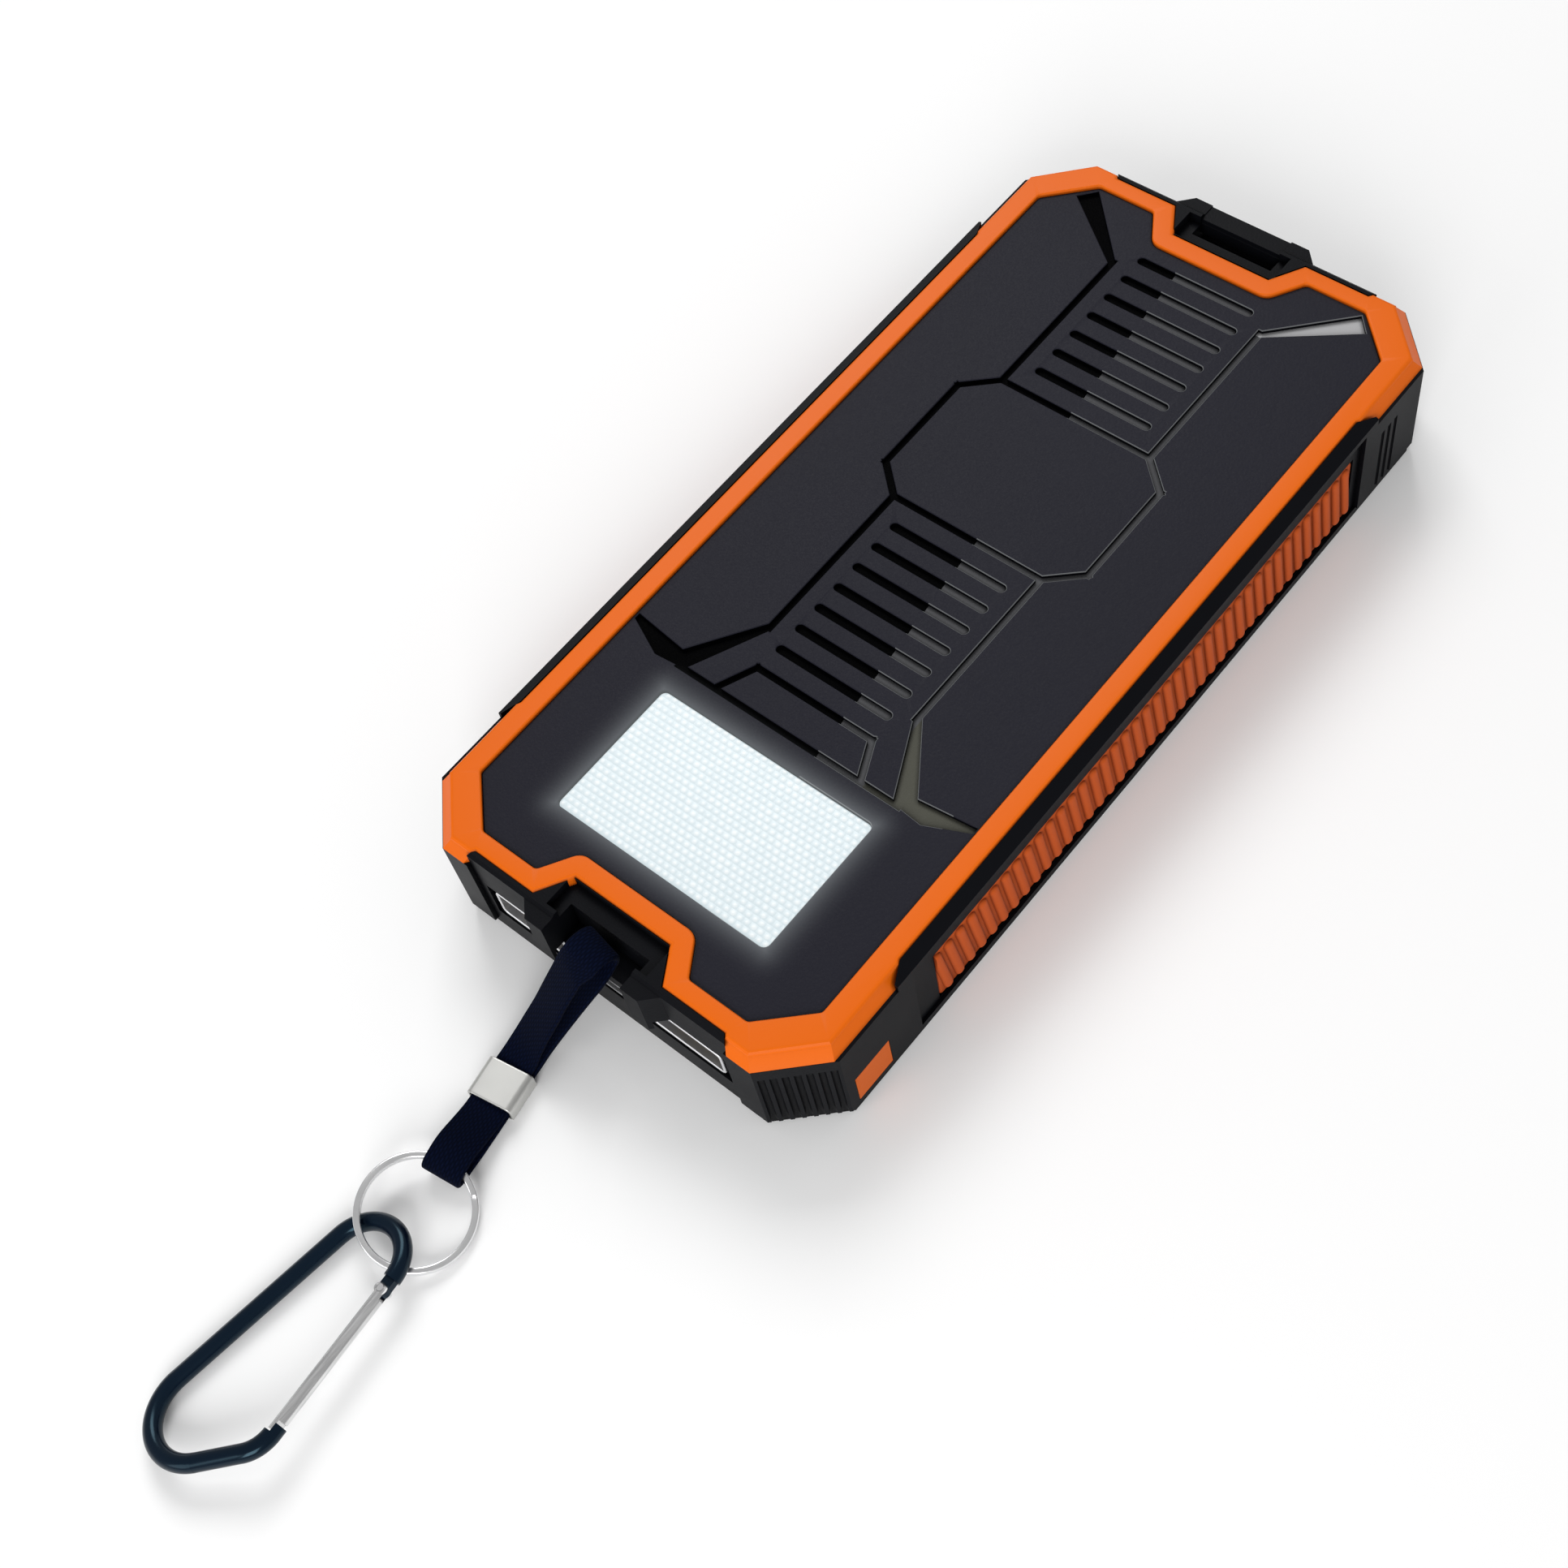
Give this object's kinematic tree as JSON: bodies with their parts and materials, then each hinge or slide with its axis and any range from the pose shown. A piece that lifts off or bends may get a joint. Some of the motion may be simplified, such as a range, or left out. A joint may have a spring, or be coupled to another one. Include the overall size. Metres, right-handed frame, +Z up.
{
  "type": "solar power bank",
  "caption": "Rugged solar power bank: cut-corner case with a lamp panel, ribbed side grips, USB sockets, a bar at each end and a strap lanyard with key ring and carabiner",
  "frame": {"origin": "middle of the case's footprint, on the table the solar side's rim stands on", "axes": "+X towards the side with the button, +Y away from the ports and the lanyard, +Z up out of the lamp side"},
  "size_m": [0.073, 0.2387, 0.0208],
  "materials": {
    "case_black": "fine matte moulded black",
    "cover_black": "matte moulded black",
    "panel_grey": "fine leather-like grain, dark grey",
    "bezel_orange": "satin orange",
    "grip_orange": "soft matte orange-brown",
    "button_orange": "matte orange",
    "seal_black": "matte",
    "lamp_lens": "milky lens with fine prisms",
    "white_plastic": "white",
    "led_yellow": "phosphor yellow",
    "clear_sheet": "clear film",
    "cell_blue": "dark blue silicon",
    "tinned_copper": "tinned ribbon",
    "board_dark": "black solder mask",
    "board_green": "green solder mask",
    "chip_black": "matt epoxy",
    "coil_grey": "ferrite",
    "socket_steel": "nickel plated",
    "tongue_black": "moulded",
    "contact_gold": "gold plated",
    "light_pipe": "clear light pipe",
    "cell_foil": "foil pouch",
    "pad_grey": "foam pad",
    "lead_red": "insulated lead",
    "lead_black": "insulated lead",
    "lead_white": "insulated lead",
    "screw_steel": "plated steel",
    "strap_navy": "woven nylon, dark navy",
    "clamp_steel": "nickel plated",
    "ring_steel": "polished",
    "carabiner_dark": "dark blue anodised",
    "gate_alu": "bright",
    "pin_steel": "bright"
  },
  "bodies": {
    "case": {"case_frame": "case_black", "front_cover": "cover_black", "back_panel": "panel_grey", "back_bezel": "bezel_orange", "case_seal": "seal_black", "grip_left": "grip_orange", "grip_right": "grip_orange", "switch_body": "socket_steel", "lamp_window": "lamp_lens", "lamp_reflector": "white_plastic", "lamp_board": "white_plastic", "lamp_leds": "led_yellow", "solar_sheet": "clear_sheet", "solar_cells": "cell_blue", "solar_ribbons": "tinned_copper", "solar_board": "board_dark", "main_board": "board_green", "board_chips": "chip_black", "power_coil": "coil_grey", "usb_shell_left": "socket_steel", "usb_shell_right": "socket_steel", "usb_tongue_left": "tongue_black", "usb_tongue_right": "tongue_black", "usb_contacts": "contact_gold", "micro_usb_shell": "socket_steel", "micro_usb_tongue": "tongue_black", "status_lights": "light_pipe", "battery_lower": "cell_foil", "battery_upper": "cell_foil", "battery_pad": "pad_grey", "battery_leads": "lead_red", "solar_leads": "lead_black", "lamp_leads": "lead_white", "case_screws": "screw_steel"},
    "button": {"power_button": "button_orange", "switch_stem": "tongue_black"},
    "lanyard": {"lanyard_strap": "strap_navy", "strap_clamp": "clamp_steel"},
    "ring": {"key_ring": "ring_steel"},
    "carabiner": {"carabiner_body": "carabiner_dark", "gate_pin": "pin_steel"},
    "gate": {"carabiner_gate": "gate_alu", "gate_spring": "pin_steel"}
  },
  "joints": [
    {"name": "button_press", "type": "slide", "parent": "case", "child": "button", "axis": [-1, 0, 0], "range_m": [0, 0.0006], "stiffness_N_per_m": 800},
    {"name": "lanyard_swing", "type": "hinge", "parent": "case", "child": "lanyard", "pos_m": [0, -0.0767, 0.0181], "axis": [-1, 0, 0], "range_deg": [0, 80]},
    {"name": "ring_lift", "type": "hinge", "parent": "lanyard", "child": "ring", "pos_m": [-0.00245, -0.1077, 0.00275], "axis": [-0.9576, -0.1688, 0.2334], "range_deg": [0, 75]},
    {"name": "carabiner_swing", "type": "hinge", "parent": "ring", "child": "carabiner", "pos_m": [-0.0018, -0.1217, 0.0035], "axis": [0, 0, 1], "range_deg": [-12, 12]},
    {"name": "gate_open", "type": "hinge", "parent": "carabiner", "child": "gate", "pos_m": [0.00383, -0.12596, 0.00462], "axis": [0.2416, -0.019, -0.9702], "range_deg": [0, 28], "stiffness_Nm_per_rad": 0.03, "springref_deg": -34.38}
  ]
}
